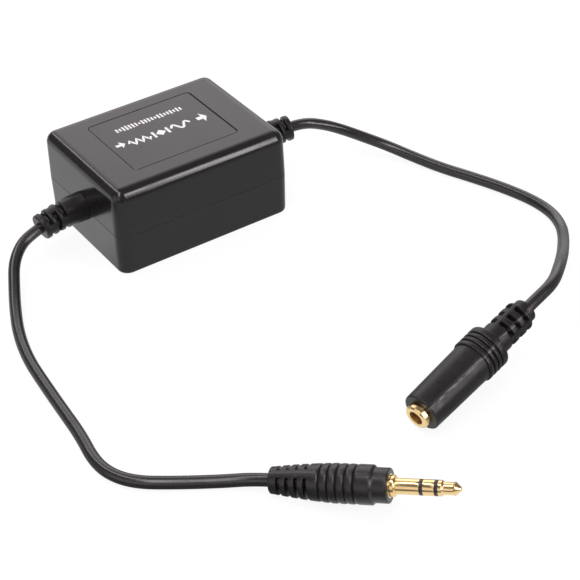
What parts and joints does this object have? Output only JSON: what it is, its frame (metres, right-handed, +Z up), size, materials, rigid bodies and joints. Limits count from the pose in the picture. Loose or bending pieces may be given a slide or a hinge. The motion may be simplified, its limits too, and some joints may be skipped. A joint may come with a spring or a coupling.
{
  "type": "audio noise filter",
  "caption": "Black moulded in-line audio noise filter for a car: a small box with a corded gold audio plug at one end and a corded gold-nosed jack at the other.",
  "frame": {"origin": "middle of the case's underside", "axes": "+X along the case from the plug's cord (IN) to the jack's cord (OUT), +Z up"},
  "size_m": [0.1475, 0.1582, 0.0247],
  "materials": {
    "case_plastic": "smooth gloss, moulded",
    "label_face": "smooth, printed in white",
    "board": "solder mask",
    "core_steel": "stacked sheets",
    "bobbin_plastic": "matte",
    "copper_wire": "enamelled",
    "tinned_pin": "tinned",
    "wire_white": "satin",
    "wire_red": "satin",
    "wire_black": "satin",
    "soft_black": "satin, moulded",
    "pale_mould": "matte",
    "gold_plate": "polished gold plate",
    "ring_plastic": "satin",
    "spring_brass": "bright"
  },
  "bodies": {
    "root": {"case_bottom": "case_plastic", "case_top": "case_plastic", "label_plate": "label_face", "circuit_board": "board", "strain_relief_in": "soft_black", "strain_relief_out": "soft_black", "transformer_core_left": "core_steel", "transformer_core_right": "core_steel", "transformer_bobbin_left": "bobbin_plastic", "transformer_bobbin_right": "bobbin_plastic", "transformer_winding_left": "copper_wire", "transformer_winding_right": "copper_wire", "transformer_pins_left": "tinned_pin", "transformer_pins_right": "tinned_pin", "wire_in_left": "wire_white", "wire_in_right": "wire_red", "wire_in_ground": "wire_black", "wire_out_left": "wire_white", "wire_out_right": "wire_red", "wire_out_ground": "wire_black", "cord_in": "soft_black", "cord_out": "soft_black", "plug_handle": "soft_black", "plug_inner_mould": "pale_mould", "plug_sleeve": "gold_plate", "plug_ring_insulator": "ring_plastic", "plug_ring": "gold_plate", "plug_tip_insulator": "ring_plastic", "plug_tip": "gold_plate", "jack_handle": "soft_black", "jack_bushing": "gold_plate", "jack_socket": "ring_plastic", "jack_inner_mould": "pale_mould", "jack_contact_tip": "spring_brass", "jack_contact_ring": "spring_brass", "jack_contact_ground": "spring_brass"}
  },
  "joints": []
}
